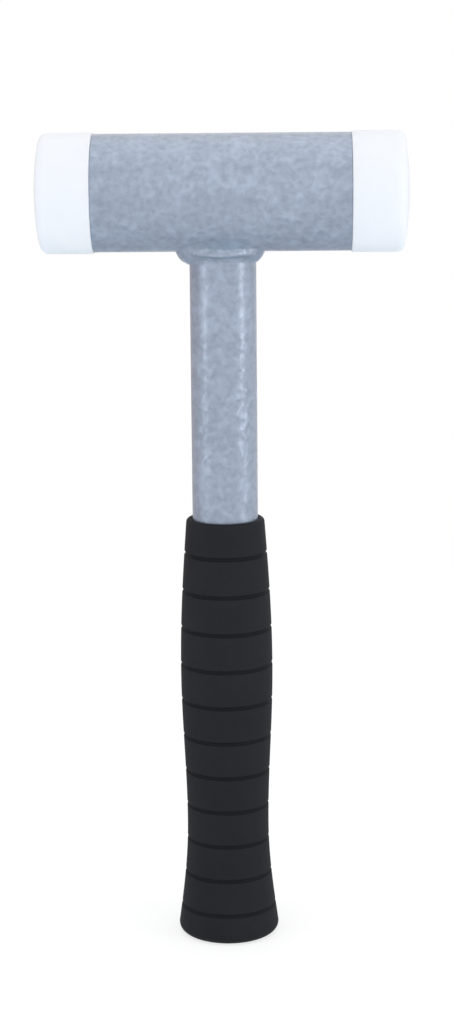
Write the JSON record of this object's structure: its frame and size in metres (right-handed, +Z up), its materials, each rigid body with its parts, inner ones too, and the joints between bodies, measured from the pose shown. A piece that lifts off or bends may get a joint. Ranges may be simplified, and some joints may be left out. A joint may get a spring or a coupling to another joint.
{
  "type": "dead blow hammer",
  "caption": "Dead blow hammer with a painted tubular steel head, crowned nylon striking faces, a sealed loose shot charge, a welded tube handle and a grooved rubber grip.",
  "frame": {"origin": "middle of the flat foot of the grip, on the surface that the hammer stands on", "axes": "+X along the head towards the right face, +Y away from the viewer of the picture, +Z up the handle towards the head"},
  "size_m": [0.1414, 0.0456, 0.3167],
  "materials": {
    "hammer_paint": "hammered silver-blue paint",
    "nylon": "satin natural nylon",
    "spring_steel": "dark oiled",
    "bare_steel": "satin",
    "shot_steel": "polished",
    "plug_plastic": "matte",
    "grip_rubber": "matte moulded"
  },
  "bodies": {
    "hammer": {"head_tube": "hammer_paint", "handle_tube": "hammer_paint", "weld_bead": "hammer_paint", "left_face": "nylon", "right_face": "nylon", "left_ring": "spring_steel", "right_ring": "spring_steel", "left_baffle": "bare_steel", "right_baffle": "bare_steel", "handle_plug": "plug_plastic", "grip": "grip_rubber"},
    "shot": {"shot_charge": "shot_steel"}
  },
  "joints": [
    {"name": "shot_run", "type": "slide", "parent": "hammer", "child": "shot", "axis": [1, 0, 0], "range_m": [-0.011, 0.011]}
  ]
}
